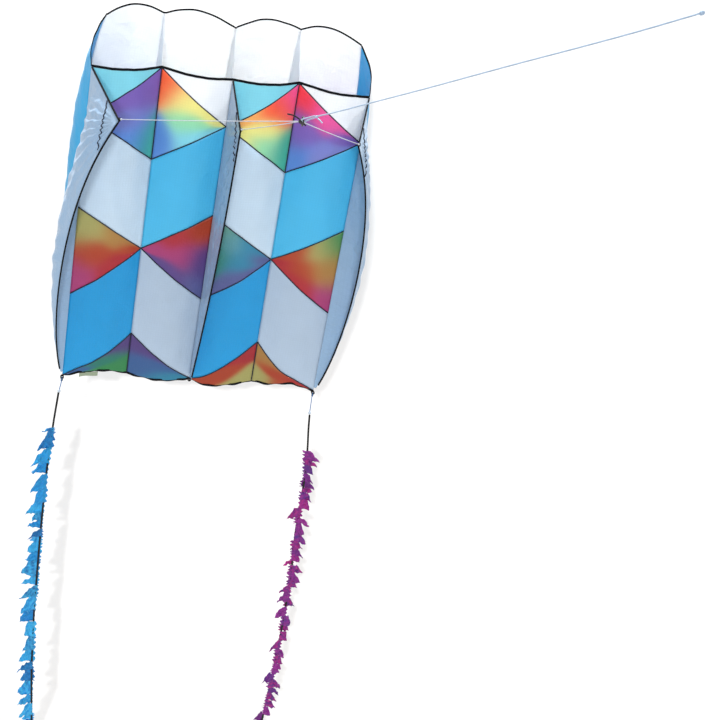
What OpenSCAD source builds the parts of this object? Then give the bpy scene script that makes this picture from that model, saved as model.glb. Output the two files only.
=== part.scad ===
// Parafoil kite: a sparless, ram-air kite of four cells with three fins, a three-leg
// bridle, a flying line and two fringed tails.  Millimetres.  +Z runs from the trailing
// edge to the leading edge, -Y is the side that the fins and the bridle are on, and the
// origin is the tow point, where the flying line holds the kite.

/* [Canopy] */
// Span across the four cells, from one outer fin to the other
span = 510; // [400:10:620]
// Chord of the lower skin, from its trailing edge to its leading edge
lower_chord = 640; // [520:10:760]
// How far the upper skin's leading edge stands ahead of the lower skin's
overhang = 79; // [40:1:110]
// Depth of the mouth at a fin rib
mouth_depth = 50; // [30:1:70]
// Extra depth of the mouth at a rib between two fins
mouth_crown = 16; // [0:1:25]
// How much fuller the section is than a straight wedge
fullness = 227; // [150:1:260]
// How far back the ribs between the fins lie at the leading edge
rib_bow = 28; // [10:1:35]
// Spanwise arch of the canopy at the trailing edge
arch_tail = 22; // [0:1:30]
// Spanwise arch of the canopy at the leading edge
arch_nose = 12; // [0:1:25]
// Belly of the lower skin between two ribs at the leading edge
lower_belly = 19; // [4:1:24]
// Belly of the upper skin between two ribs at the leading edge
upper_belly = 25; // [10:1:30]
// How far the upper skin's leading edge bows forwards between two ribs
nose_rise = 10; // [0:1:14]
// Outward bulge of a side wall under the air pressure
wall_bulge = 20; // [0:1:30]
// Inward lean of a side wall's top edge at the mouth
mouth_lean = 20; // [0:1:30]
// Cloth thickness, thicker than the real ripstop so that it is a sound solid
cloth = 0.6; // [0.4:0.1:0.8]

/* [Fins] */
// Depth of a fin, from the lower skin to its tip
fin_depth = 171; // [120:1:200]
// How far the fin tips sit behind the leading edge
fin_setback = 32; // [10:1:80]
// How far an outer fin's tip leans towards the middle
fin_lean = 46; // [20:1:60]
// How far the rear of an outer fin flares outwards
fin_flare = 25; // [10:1:45]
// Outward belly of an outer fin between its root and its edge
fin_belly = 21; // [0:1:24]
// Sideways bow of the centre fin's edge
fin_sway = 5; // [0:1:10]
// Width of the binding tape on the fins and the mouth
tape = 4; // [3:0.5:6]

/* [Bridle and line] */
// Distance from the tow point back to the lower skin
tow_reach = 674; // [500:1:760]
// Height of the tow point above the trailing edge
tow_height = 829; // [700:1:900]
// Diameter of the flying line
line_d = 1.8; // [1:0.1:2]
// Diameter of a bridle leg
leg_d = 1.3; // [1:0.1:2]
// Diameter of a tail's leader
leader_d = 1.4; // [1:0.1:2]
// Radius of the tow ring, to the middle of its wire
ring_r = 6; // [5:0.5:9]
// Diameter of the tow ring's wire
ring_wire = 2.2; // [1.6:0.1:3]

/* [Tails] */
// Diameter of a tail's core cord
tail_d = 3; // [1.6:0.1:3.4]
// Radius of the bead on a tail's leader
bead_r = 3.4; // [2.5:0.1:4]
// Inside radius of the centre tail loop
loop_r = 2.5; // [2:0.1:3]
// Longest fringe strip
fringe_w = 30; // [12:1:34]

/* [Hidden] */

half = span / 2;
cell = span / 4;
upper_chord = lower_chord + overhang;
seam_gap = 0.4;
skin_gap = 1.0;
rib_gap = 0.2;
belly_share = 0.35;
wall_taper = 0.91;
tape_half = 0.8;
tape_in = 0.3;
tape_lip = 0.4;
tape_front = 0.7;
tape_back = 1.3;
across = 8;
along = 12;
lean_span = 0.25;
tip_z = lower_chord - fin_setback;
small = 0.01;

// Route of the left tail: canopy frame, from the bead down
LEFT_TAIL = [[-259, 0, -42], [-262, 0, -88], [-264, 0, -124], [-268, 1, -230], [-269, 3, -332],
    [-269, 3, -463], [-268, 1, -560], [-267, 0, -628], [-262, -2, -760], [-252, -3, -910],
    [-249, -3, -962]];
// Route of the right tail
RIGHT_TAIL = [[257, 0, -60], [261, 0, -100], [266, 0, -140], [272, 1, -200], [275, 3, -278],
    [276, 3, -358], [281, 2, -430], [285, 1, -496], [287, 0, -611], [287, -2, -731],
    [284, -3, -860], [281, -3, -966]];
// Route of the flying line: from its knot near the tow ring to its end knot
LINE = [[13, -28.8, 20.2], [31, -70, 45], [59, -133, 85], [95, -214, 136],
    [130, -294, 187], [159, -360, 229], [188, -425, 270], [220, -497, 316], [249, -562, 359]];
// The loop through the tow ring, from the knot out and back
LINE_LOOP = [[10.8, -25.4, 17], [6.5, -16, 10.2], [3.4, -9.6, 5.4], [2.7, -5.8, 2.3], [1.1, -3, 1.2],
    [-1.1, -2.8, 1.8], [-2.7, -4.8, 3.6], [-2.2, -8.8, 6.6], [4, -15, 12], [9.8, -24.6, 18.8]];
// Free tag end of the knot in the flying line
LINE_TAG = [[13.4, -28, 16.8], [16, -31, 16], [20, -34, 13]];

function mix(a, b, t) = a + (b - a) * t;
function ride_at(p) = p + [0, tow_reach, -tow_height];
function arch(x, z) =
    mix(arch_tail, arch_nose, z / lower_chord) * (1 - (x / half) ^ 2);
// How far back a rib lies: nothing at the fins, rib_bow between them
function rib_y(k, z) = arch(k * cell, z) + (k % 2 == 0 ? 0 : rib_bow * (0.25 + 0.75 * z / lower_chord));
// Depth of the section at s, from 0 at the mouth to 1 at the trailing edge
function depth(k, s) =
    (1 - s) * (mouth_depth + (k % 2 == 0 ? 0 : mouth_crown) + fullness * s ^ 0.75);
// Lean of a side wall's top edge, which dies out behind the mouth
function wall_lean(s) = s < lean_span ? mouth_lean * (1 - s / lean_span) ^ 2 : 0;
// Point of the lower skin of cell c, with u across and v from the trailing edge forwards
function lower_pt(c, u, v) =
    let (k = c - 2, z = lower_chord * v, b = lower_belly * mix(belly_share, 1, v) * sin(180 * u))
    [mix(k * cell, (k + 1) * cell, u), mix(rib_y(k, z), rib_y(k + 1, z), u) - b, z];
function upper_y(k, s) = rib_y(k, lower_chord * (1 - s)) + depth(k, s) + skin_gap + cloth;
// Point of the upper skin of cell c, with s from the mouth back to the trailing edge
function upper_pt(c, u, s) =
    let (k = c - 2, in = wall_lean(s),
        b = (upper_belly * sqrt(1 - s) - lower_belly * belly_share * s ^ 6) * sin(180 * u),
        x0 = k * cell + (c == 0 ? in : 0), x1 = (k + 1) * cell - (c == 3 ? in : 0))
    [mix(x0, x1, u), mix(upper_y(k, s), upper_y(k + 1, s), u) + b,
        upper_chord * (1 - s) + nose_rise * (1 - s) ^ 8 * sin(180 * u)];

function quads(n, m, o, turn) = [for (i = [0:n - 1], j = [0:m - 1])
    let (a = o + i * (m + 1) + j, b = a + 1, c = a + m + 2, d = a + m + 1)
    each (turn ? [[a, c, b], [a, d, c]] : [[a, b, c], [a, c, d]])];
function rim(n, m) = concat(
    [for (i = [0:n - 1]) [i * (m + 1), (i + 1) * (m + 1)]],
    [for (j = [0:m - 1]) [n * (m + 1) + j, n * (m + 1) + j + 1]],
    [for (i = [n:-1:1]) [i * (m + 1) + m, (i - 1) * (m + 1) + m]],
    [for (j = [m:-1:1]) [j, j - 1]]);

// A closed sheet of cloth: a grid of points and the same grid moved by the thickness
module sheet(n, m, p, thick) {
    front = [for (i = [0:n], j = [0:m]) ride_at(p(i / n, j / m))];
    back = [for (q = front) q + thick];
    o = len(front);
    walls = [for (e = rim(n, m)) each [[e[0], e[1], o + e[1]], [e[0], o + e[1], o + e[0]]]];
    polyhedron(concat(front, back), concat(quads(n, m, 0, false), quads(n, m, o, true), walls));
}
// A closed strip or tube: one ring of points at each stop, joined and capped
module loft(rings) {
    n = len(rings[0]);
    m = len(rings);
    pts = [for (r = rings) each r];
    sides = [for (i = [0:m - 2], k = [0:n - 1])
        let (a = i * n + k, b = i * n + (k + 1) % n) each [[a, a + n, b + n], [a, b + n, b]]];
    polyhedron(pts, concat(sides, [[for (k = [0:n - 1]) k]],
        [[for (k = [n - 1:-1:0]) (m - 1) * n + k]]));
}
function unit(v) = v / norm(v);
// A ring of eight points round a cord at p, square to d
function cord_ring(p, d, dia) =
    let (a = unit(cross(d, [0.6, 0.8, 0.1])), b = unit(cross(d, a)))
    [for (k = [0:7]) p + dia / 2 * (cos(45 * k) * a + sin(45 * k) * b)];
module cord(route, dia) {
    m = len(route);
    loft([for (i = [0:m - 1])
        cord_ring(route[i], unit(route[min(i + 1, m - 1)] - route[max(i - 1, 0)]), dia)]);
}
// A flat strip along a route, from offset a to offset b at each point
module strip(route, a, b, c, d) {
    loft([for (i = [0:len(route) - 1]) [route[i] + a, route[i] + b, route[i] + c, route[i] + d]]);
}

module lower_skin(c) {
    sheet(across, along, function(u, v)
        let (q = lower_pt(c, u, mix(0.005, 1, v))) [q.x + seam_gap * (1 - 2 * u), q.y, q.z],
        [0, cloth, 0]);
}
module upper_skin(c) {
    sheet(across, along + 3, function(u, v)
        let (q = upper_pt(c, u, 1 - mix(0.005, 1, v))) [q.x + seam_gap * (1 - 2 * u), q.y, q.z],
        [0, cloth, 0]);
}
// Rib k from the lower skin to the upper skin, bulged by the pressure if it is a side wall
function rib_pt(k, u, v, bulge) =
    let (w = mix(0.07, 1, v), s = 1 - w, lean = abs(k) == 2 ? wall_lean(s) : 0,
        z0 = lower_chord * w, y0 = rib_y(k, z0) + cloth + rib_gap, y1 = upper_y(k, s) - rib_gap,
        out = bulge * sin(180 * u) * sin(180 * w * wall_taper) ^ 0.7)
    [k * cell - sign(k) * lean * u + sign(k) * out,
        mix(y0, y1, u), mix(z0, upper_chord * w, u)];
module rib(k, bulge) {
    sheet(5, along, function(u, v) let (q = rib_pt(k, 1 - u, v, bulge)) [q.x - cloth / 2, q.y, q.z],
        [cloth, 0, 0]);
}

// Sideways set of an outer fin at height a (0 tail, 1 tip) and reach t (0 root, 1 edge)
function fin_set(a, t) =
    t * (fin_flare * sin(180 * a ^ 0.7) - fin_lean * a ^ 5) + fin_belly * sin(180 * t) * sin(180 * a);
// Point of fin k (-2, 0, 2); it runs from the lower skin to the line from tail to tip
function fin_pt(k, a, t) =
    let (side = k == 0 ? fin_sway * t * sin(180 * a) : sign(k) * fin_set(a, t))
    [k * cell + side,
        mix(rib_y(k, lower_chord * a) - tape_in, -fin_depth * a + (k == 0 ? arch_nose * a : 0), t),
        mix(lower_chord, tip_z, t) * a];
module fin(k) {
    sheet(6, 14, function(u, v) let (q = fin_pt(k, mix(0.03, 1, v), u)) [q.x - cloth / 2, q.y, q.z],
        [cloth, 0, 0]);
}
// Doubled cloth at a fin's tip, on the side that looks away from the middle
module fin_patch(k) {
    side = k <= 0 ? -1 : 1;
    sheet(3, 4, function(u, v)
        let (q = fin_pt(k, mix(0.86, 0.985, v), mix(0.72 + 0.16 * (1 - v), 0.985, u)))
            [q.x + (side < 0 ? -cloth / 2 - 0.7 : cloth / 2 + rib_gap), q.y, q.z], [0.5, 0, 0]);
}
// Binding along a fin's front edge, round its tip and back to the trailing edge
module fin_tape(k) {
    front = [for (t = [0.08:0.115:0.96]) fin_pt(k, 1, t)];
    rear = [for (a = [0.985:-0.09:0.08]) fin_pt(k, a, 1)];
    rings = concat([for (q = front) binding(ride_at(q), unit([0, -0.18, 1]))],
        [binding(ride_at(fin_pt(k, 1, 1)), unit([0, -1, 0.7]))],
        [for (q = rear) binding(ride_at(q), unit([0, -1, -0.28]))]);
    loft(rings);
}
function binding(p, out) =
    [p + out * tape_in + [tape_half, 0, 0], p + out * tape + [tape_half, 0, 0],
        p + out * tape - [tape_half, 0, 0], p + out * tape_in - [tape_half, 0, 0]];

// Tape along a leading edge, from its lip up to a given height
module edge_strip(route, top)
    strip(route, [0, -tape_front, tape_lip], [0, tape_back, tape_lip], [0, tape_back, top],
        [0, -tape_front, top]);
module lower_leading_tape() {
    route = [for (c = [0:3], i = [0:across - (c < 3 ? 1 : 0)]) ride_at(lower_pt(c, i / across, 1))];
    edge_strip(route, tape + 1);
}
module upper_leading_tape() {
    route = [for (c = [0:3], i = [0:across - (c < 3 ? 1 : 0)]) ride_at(upper_pt(c, i / across, 0))];
    edge_strip(route, tape - 1);
}
// Binding up the front edge of a side wall, between the two leading-edge tapes
module mouth_tape(k) {
    loft([for (u = [0.06:0.11:0.95]) let (p = ride_at(rib_pt(k, u, 1, wall_bulge)) + [0, 0, tape_lip])
        [p + [tape_half, 0, 0], p - [tape_half, 0, 0], p + [-tape_half, -tape_back, tape - 1],
            p + [tape_half, -tape_back, tape - 1]]]);
}
module trailing_tape() {
    route = [for (c = [0:3], i = [0:across - (c < 3 ? 1 : 0)])
        let (q = lower_pt(c, i / across, 0)) ride_at(q + [0, 0, 2.4])];
    strip(route, [0, -tape_front, 0], [0, -tape_front, -tape], [0, 2.4, -tape], [0, 2.4, 0]);
}

// A loop of tape: an eye whose bore runs along Y
module tape_loop(p, inner, wall, width) {
    translate(ride_at(p)) rotate([90, 0, 0]) linear_extrude(width, center = true)
        difference() {
            circle(inner + wall, $fn = 48);
            circle(inner, $fn = 48);
        }
}
loop_wall = 1.1;
loop_width = 6;
tail_eye = [[-half, 1, -5.3], [0, arch_tail + 1, -5.3], [half, 1, -5.3]];
lug_r = 2.6;
lug_width = 3.4;
lug_reach = [0, -5.2, 5.6];
lug_at = [for (k = [-2, 0, 2]) fin_pt(k, 1, 1) + lug_reach];
module tail_loop(i) tape_loop(tail_eye[i], loop_r, loop_wall, loop_width);
// Eye of tape at a fin's tip that a bridle leg is tied to; its bore runs across the fin
module bridle_lug(i) {
    translate(ride_at(lug_at[i])) rotate([0, 90, 0])
        rotate_extrude($fn = 40) translate([lug_r, 0]) square([1, lug_width], center = true);
}
module blank_tag() {
    q = lower_pt(0, 0.4, 0);
    translate(ride_at([q.x, q.y + tape_back, -7.5])) cube([36, tape_half, 9.4], center = true);
}

function leg_start(i) = let (p = ride_at(lug_at[i])) p + (lug_r + 1.8) * unit(-p);
leg_sag = 1;
knot_at = [0, 12.2, -4.9];
knot_tilt = 21.8;
module bridle_leg(i) {
    a = leg_start(i);
    to = knot_at + [(i - 1) * 2.4, 5.5, -2.2];
    cord([for (t = [0:0.05:1]) mix(a, to, t) - [0, 0, leg_sag * sin(180 * t)]], leg_d);
}
module bridle_knot() {
    translate(knot_at) rotate([90 - knot_tilt, 0, 0])
        rotate_extrude($fn = 32)
            polygon([[0, -5], [2.2, -5], [3.6, -2.5], [4, 0], [3.6, 2.5], [2.2, 5], [0, 5]]);
}
// The ring stands in the plane of the centre leg and the line
module tow_ring() rotate([0, 90, 0])
    rotate_extrude($fn = 48) translate([ring_r, 0]) circle(d = ring_wire, $fn = 24);
module line_knot() {
    translate([12, -27, 18.6]) sphere(1.9, $fn = 24);
}
module flying_line() {
    cord(LINE_LOOP, line_d);
    cord(LINE, line_d);
    cord(LINE_TAG, line_d);
}
module line_end_knot() {
    translate([250.6, -565.6, 361.3]) sphere(2.6, $fn = 24);
}

function leader_top(s) = [s * half, 1, -9.4];
function bead_at(s) = s < 0 ? [-258.3, 0, -37.6] : [256.2, 0, -54.4];
module tail_leader(s) {
    a = leader_top(s);
    b = bead_at(s) + [0, 0, bead_r + 0.05];
    cord([for (t = [0:0.2:1]) ride_at(mix(a, b, t))], leader_d);
}
module tail_bead(s) translate(ride_at(bead_at(s))) sphere(bead_r, $fn = 32);
module tail_cord(route) cord([for (q = route) ride_at(q)], tail_d);
fringe_count = 46;
fringe_high = 10;
fringe_thick = 0.8;
fringe_droop = 3.4;
// Point of a route at a given height
function on_route(route, z) = let (i = min([for (k = [1:len(route) - 1]) if (route[k].z <= z) k]))
    mix(route[i - 1], route[i], (z - route[i - 1].z) / (route[i].z - route[i - 1].z));
// Strips of cloth sewn along the cord, of varied length and droop, every fifth on its other side
module fringe(route, side, top, bottom) {
    root = tail_d / 2 + 0.5;
    for (i = [0:fringe_count - 1]) {
        z = mix(top, bottom, i / (fringe_count - 1));
        out = i % 5 == 3 ? -side : side;
        long = fringe_w * (i % 5 == 3 ? 0.5 : 0.5 + 0.5 * sin(137 * i) ^ 2);
        droop = fringe_droop * sin(71 * i);
        translate(ride_at(on_route(route, z))) rotate([90, 0, 20 * sin(97 * i)])
            linear_extrude(fringe_thick, center = true)
                polygon([[out * root, -fringe_high / 2], [out * (root + long), -fringe_high / 2 - droop],
                    [out * (root + long), fringe_high / 2 - droop], [out * root, fringe_high / 2]]);
    }
}
module end_knot(route) translate(ride_at(route[len(route) - 1]) + [0, 0, -3.3]) sphere(3.2, $fn = 24);

color("#3aa8e0") lower_skin(0);  // lower_skin_1
color("#e8f0fa") lower_skin(1);  // lower_skin_2
color("#3aa8e0") lower_skin(2);  // lower_skin_3
color("#e8f0fa") lower_skin(3);  // lower_skin_4
color("#f4f8fc") upper_skin(0);  // upper_skin_1
color("#f4f8fc") upper_skin(1);  // upper_skin_2
color("#f4f8fc") upper_skin(2);  // upper_skin_3
color("#f4f8fc") upper_skin(3);  // upper_skin_4
color("#3da5de") rib(-2, wall_bulge);  // side_wall_left
color("#3da5de") rib(2, wall_bulge);  // side_wall_right
color("#f4f8fc") rib(-1, 0);  // inner_rib_left
color("#f4f8fc") rib(0, 0);  // inner_rib_centre
color("#f4f8fc") rib(1, 0);  // inner_rib_right
color("#dfe9f5") fin(-2);  // fin_left
color("#dfe9f5") fin(0);  // fin_centre
color("#dfe9f5") fin(2);  // fin_right
color("#d4e0ee") fin_patch(-2);  // fin_patch_left
color("#d4e0ee") fin_patch(0);  // fin_patch_centre
color("#d4e0ee") fin_patch(2);  // fin_patch_right
color("#0d0f14") fin_tape(-2);  // fin_tape_left
color("#0d0f14") fin_tape(0);  // fin_tape_centre
color("#0d0f14") fin_tape(2);  // fin_tape_right
color("#0d0f14") lower_leading_tape();
color("#0d0f14") upper_leading_tape();
color("#0d0f14") mouth_tape(-2);  // mouth_tape_left
color("#0d0f14") mouth_tape(2);  // mouth_tape_right
color("#0d0f14") trailing_tape();
color("#0d0f14") tail_loop(0);  // tail_loop_left
color("#0d0f14") tail_loop(1);  // tail_loop_centre
color("#0d0f14") tail_loop(2);  // tail_loop_right
color("#97a38c") blank_tag();
color("#0d0f14") bridle_lug(0);  // bridle_lug_left
color("#0d0f14") bridle_lug(1);  // bridle_lug_centre
color("#0d0f14") bridle_lug(2);  // bridle_lug_right
color("#f2f2f2") bridle_leg(0);  // bridle_leg_left
color("#f2f2f2") bridle_leg(1);  // bridle_leg_centre
color("#f2f2f2") bridle_leg(2);  // bridle_leg_right
color("#15151a") bridle_knot();
color("#15151a") tow_ring();
color("#a8bed6") line_knot();
color("#a8bed6") flying_line();
color("#a8bed6") line_end_knot();
color("#e6e8ec") tail_leader(-1);  // tail_leader_left
color("#f2f2f2") tail_bead(-1);  // tail_bead_left
color("#14161c") tail_cord(LEFT_TAIL);  // tail_cord_left
color("#1e8fd6") fringe(LEFT_TAIL, -1, -131, -945);  // tail_fringe_left
color("#14161c") end_knot(LEFT_TAIL);  // tail_knot_left
color("#e6e8ec") tail_leader(1);  // tail_leader_right
color("#f2f2f2") tail_bead(1);  // tail_bead_right
color("#14161c") tail_cord(RIGHT_TAIL);  // tail_cord_right
color("#7e2a8a") fringe(RIGHT_TAIL, 1, -147, -948);  // tail_fringe_right
color("#14161c") end_knot(RIGHT_TAIL);  // tail_knot_right
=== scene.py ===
"""Parafoil kite, dressed for rendering: pieced cloth skins, fins, bindings, bridle, line and tails.

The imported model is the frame.  Shapes are worked out in the canopy's own millimetres: X runs
across the span, +Z from the trailing edge to the leading edge, and -Y is the side of the fins.
`to_row` takes them to the frame's metres, where the origin is the tow point.
"""

import logging
import math
from collections.abc import Callable
from dataclasses import dataclass, field
from enum import Enum

import bpy
import numpy as np
from mathutils import Matrix


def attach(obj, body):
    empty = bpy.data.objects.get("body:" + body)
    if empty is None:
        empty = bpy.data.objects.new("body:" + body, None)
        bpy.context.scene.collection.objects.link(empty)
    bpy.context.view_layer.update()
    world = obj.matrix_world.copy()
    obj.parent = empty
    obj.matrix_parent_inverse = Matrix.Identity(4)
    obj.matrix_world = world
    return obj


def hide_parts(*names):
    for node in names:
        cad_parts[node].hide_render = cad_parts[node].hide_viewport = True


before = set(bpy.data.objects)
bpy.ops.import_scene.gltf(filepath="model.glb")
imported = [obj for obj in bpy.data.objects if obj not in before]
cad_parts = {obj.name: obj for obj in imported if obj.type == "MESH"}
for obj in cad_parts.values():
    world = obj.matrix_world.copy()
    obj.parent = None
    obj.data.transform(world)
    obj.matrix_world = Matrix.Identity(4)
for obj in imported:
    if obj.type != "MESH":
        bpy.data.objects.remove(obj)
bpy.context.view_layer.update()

LOG = logging.getLogger("kite")
MM = 0.001
TOW_REACH = 674.0  # from the tow point back to the canopy's Y = 0
TOW_HEIGHT = 829.0  # from the trailing edge up to the tow point
Array = np.ndarray


class Side(Enum):
    """Which side of the kite a piece is on, as the sign of X."""

    LEFT = -1
    CENTRE = 0
    RIGHT = 1

    @property
    def word(self) -> str:
        """The word used in the names of pieces."""
        return self.name.lower()


# ------------------------------------------------------------------ small numeric helpers
def mix(a: Array | float, b: Array | float, t: Array | float) -> Array | float:
    """Straight blend: a + (b - a) * t."""
    return a + (b - a) * t


def xyz(x: Array, y: Array, z: Array) -> Array:
    """Three arrays of coordinates as one array of points."""
    return np.stack(np.broadcast_arrays(x, y, z), axis=-1).astype(float)


def to_row(points: Array) -> Array:
    """Canopy millimetres to the frame's metres."""
    return (np.asarray(points, float) + (0.0, TOW_REACH, -TOW_HEIGHT)) * MM


def flat_at(x: Array, y: Array) -> Array:
    """Where points lie on the flat cloth: two arrays of millimetres as UV in metres."""
    return np.stack(np.broadcast_arrays(x, y), axis=-1) * MM


def unit(v: Array) -> Array:
    """Each vector divided by its length."""
    v = np.asarray(v, float)
    return v / np.maximum(np.linalg.norm(v, axis=-1, keepdims=True), 1e-12)


def grid(n: int, m: int) -> tuple[Array, Array]:
    """Two parameters from 0 to 1 on a grid of n + 1 by m + 1 points."""
    return np.meshgrid(np.linspace(0, 1, n + 1), np.linspace(0, 1, m + 1), indexing="ij")


def ripples(x: Array, y: Array, seed: int, wave: float, count: int = 7) -> Array:
    """Soft uneven waves, from about -1 to 1: a sum of sines in seeded directions near one wavelength.

    Args:
        x: First coordinate, in the wavelength's unit.
        y: Second coordinate.
        seed: Seed of the directions and phases.
        wave: Usual wavelength.
        count: How many sines are added.

    Returns:
        The height at each point.
    """
    rng = np.random.default_rng(seed)
    total = np.zeros(np.broadcast(x, y).shape)
    for angle, phase, stretch in zip(rng.uniform(0, math.tau, count), rng.uniform(0, math.tau, count),
                                     rng.uniform(0.6, 1.5, count)):
        turns = math.tau / (wave * stretch)
        total += np.sin(turns * (x * math.cos(angle) + y * math.sin(angle)) + phase)
    return total / math.sqrt(count)


def smooth_path(points: Array, per_span: int) -> Array:
    """A Catmull-Rom curve through points, with per_span steps between two of them."""
    p = np.asarray(points, float)
    q = np.concatenate([[2 * p[0] - p[1]], p, [2 * p[-1] - p[-2]]])
    t = (np.arange(per_span) / per_span)[None, :, None]
    a, b, c, d = (q[i:len(q) - 3 + i, None, :] for i in range(4))
    curve = 0.5 * (2 * b + (c - a) * t + (2 * a - 5 * b + 4 * c - d) * t**2 + (3 * b - a - 3 * c + d) * t**3)
    return np.concatenate([curve.reshape(-1, 3), p[-1:]])


def linear(hex_colour: str) -> tuple[float, float, float, float]:
    """An sRGB hex colour as linear red, green, blue and alpha."""
    parts = [int(hex_colour[i:i + 2], 16) / 255 for i in (1, 3, 5)]
    return (*[c / 12.92 if c <= 0.04045 else ((c + 0.055) / 1.055) ** 2.4 for c in parts], 1.0)


# ------------------------------------------------------------------ finishes
def add(tree: bpy.types.NodeTree, kind: str, links: dict | None = None, **settings: object) -> bpy.types.Node:
    """Adds one shader node.

    Args:
        tree: The material's node tree.
        kind: Blender's name of the node type, without its ShaderNode prefix.
        links: Input name or number to the socket or the constant that feeds it.
        **settings: Attributes of the node.

    Returns:
        The node.
    """
    made = tree.nodes.new(f"ShaderNode{kind}")
    for key, value in settings.items():
        setattr(made, key, value)
    for key, source in (links or {}).items():
        if isinstance(source, bpy.types.NodeSocket):
            tree.links.new(source, made.inputs[key])
        else:
            made.inputs[key].default_value = source
    return made


def blank_material(name: str) -> tuple[bpy.types.Material, bpy.types.NodeTree]:
    """An empty node material of that name."""
    made = bpy.data.materials.new(name)
    made.use_nodes = True
    made.node_tree.nodes.clear()
    return made, made.node_tree


def two_tone(tree: bpy.types.NodeTree, by: bpy.types.NodeSocket, hex_colour: str, low: float, high: float,
             lift: float) -> bpy.types.NodeSocket:
    """A colour that runs from `low` to `high` times itself, plus a small lift, as `by` goes from 0 to 1."""
    ramp, base = add(tree, "ValToRGB", {"Fac": by}), linear(hex_colour)[:3]
    ramp.color_ramp.elements[0].color = (*[low * c for c in base], 1.0)
    ramp.color_ramp.elements[1].color = (*[min(1.0, high * c + lift) for c in base], 1.0)
    return ramp.outputs[0]


def band_scale(width_mm: float) -> float:
    """The Wave texture's scale that gives bands of that width."""
    return math.tau / (20 * width_mm * MM)


@dataclass(frozen=True)
class Ripstop:
    """Ripstop nylon: a thin calendered plain weave with a thicker thread every few millimetres.

    The eye sees a smooth, slightly silky cloth with a faint square grid, which lets through part of
    the light behind it.  Its colour is printed or dyed, from one hex value or the piece's dye.
    """

    name: str
    colour: str | None = None
    light_through: float = 0.3
    roughness: float = 0.42
    grid_mm: float = 5.0  # real ripstop is 5 mm squares
    grid_show: float = 0.035
    crinkle_mm: float = 26.0
    crinkle: float = 0.35

    def build(self) -> bpy.types.Material:
        """The material: dye, darker grid threads, a weave bump and a share of translucency."""
        made, tree = blank_material(self.name)
        place = add(tree, "UVMap", uv_map="cloth")
        threads = [add(tree, "TexWave", {"Vector": place.outputs["UV"], "Scale": band_scale(self.grid_mm)},
                       wave_type="BANDS", bands_direction=axis) for axis in "XY"]
        thin = [add(tree, "MapRange", {"Value": t.outputs["Fac"], "From Min": 0.86, "From Max": 1.0},
                    clamp=True) for t in threads]
        net = add(tree, "Math", {0: thin[0].outputs[0], 1: thin[1].outputs[0]}, operation="MAXIMUM")
        cloud = add(tree, "TexNoise", {"Vector": place.outputs["UV"], "Scale": 14.0, "Detail": 3.0})
        shade = add(tree, "MapRange", {"Value": cloud.outputs["Fac"], "From Min": 0.3, "From Max": 0.7,
                                                 "To Min": 0.97, "To Max": 1.02})
        dim = add(tree, "Math", {0: net.outputs[0], 1: -self.grid_show, 2: shade.outputs[0]},
                  operation="MULTIPLY_ADD")
        if self.colour is None:
            # The piece's dye holds the print's colour, with painted shade in rows C to F.
            dye = add(tree, "Attribute", attribute_name="dye").outputs["Color"]
        else:
            dye = add(tree, "RGB").outputs[0]
            dye.default_value = linear(self.colour)
        paint = add(tree, "VectorMath", {0: dye, "Scale": dim.outputs[0]}, operation="SCALE")
        folds = add(tree, "TexNoise", {"Vector": place.outputs["UV"], "Scale": 1 / (self.crinkle_mm * MM),
                                                 "Detail": 4.0, "Roughness": 0.55, "Distortion": 0.6})
        weave = add(tree, "Bump", {"Height": net.outputs[0], "Strength": 0.25, "Distance": 0.0003})
        relief = add(tree, "Bump", {"Height": folds.outputs["Fac"], "Strength": self.crinkle,
                                              "Distance": 0.004, "Normal": weave.outputs[0]})
        front = add(tree, "BsdfPrincipled", {
            "Base Color": paint.outputs[0], "Normal": relief.outputs[0], "Roughness": self.roughness,
            "Specular IOR Level": 0.4, "Sheen Weight": 0.15, "Sheen Roughness": 0.4, "IOR": 1.53})
        behind = add(tree, "BsdfTranslucent", {"Color": paint.outputs[0], "Normal": relief.outputs[0]})
        both = add(tree, "MixShader", {0: self.light_through, 1: front.outputs[0], 2: behind.outputs[0]})
        add(tree, "OutputMaterial", {"Surface": both.outputs[0]})
        return made


@dataclass(frozen=True)
class Webbing:
    """Woven polyester tape: a close rib across the tape, which gives a matt, slightly grainy band."""

    name: str
    colour: str
    rib_mm: float = 1.1  # drawn coarser than the real 0.5 mm, so that it shows
    roughness: float = 0.75

    def build(self) -> bpy.types.Material:
        """The material: ribs across the tape and worn high spots."""
        made, tree = blank_material(self.name)
        place = add(tree, "UVMap", uv_map="cloth")
        ribs = add(tree, "TexWave", {"Vector": place.outputs["UV"], "Scale": band_scale(self.rib_mm),
                                               "Distortion": 0.4, "Detail": 1.0},
                   wave_type="BANDS", bands_direction="X")
        wear = add(tree, "TexNoise", {"Vector": place.outputs["UV"], "Scale": 180.0, "Detail": 5.0})
        mark = add(tree, "Math", {0: ribs.outputs["Fac"], 1: wear.outputs["Fac"]}, operation="MULTIPLY")
        bump = add(tree, "Bump", {"Height": mark.outputs[0], "Strength": 0.5, "Distance": 0.0004})
        skin = add(tree, "BsdfPrincipled", {
            "Base Color": two_tone(tree, mark.outputs[0], self.colour, 0.7, 1.4, 0.002), "Normal": bump.outputs[0],
            "Roughness": self.roughness, "Specular IOR Level": 0.12})
        add(tree, "OutputMaterial", {"Surface": skin.outputs[0]})
        return made


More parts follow.
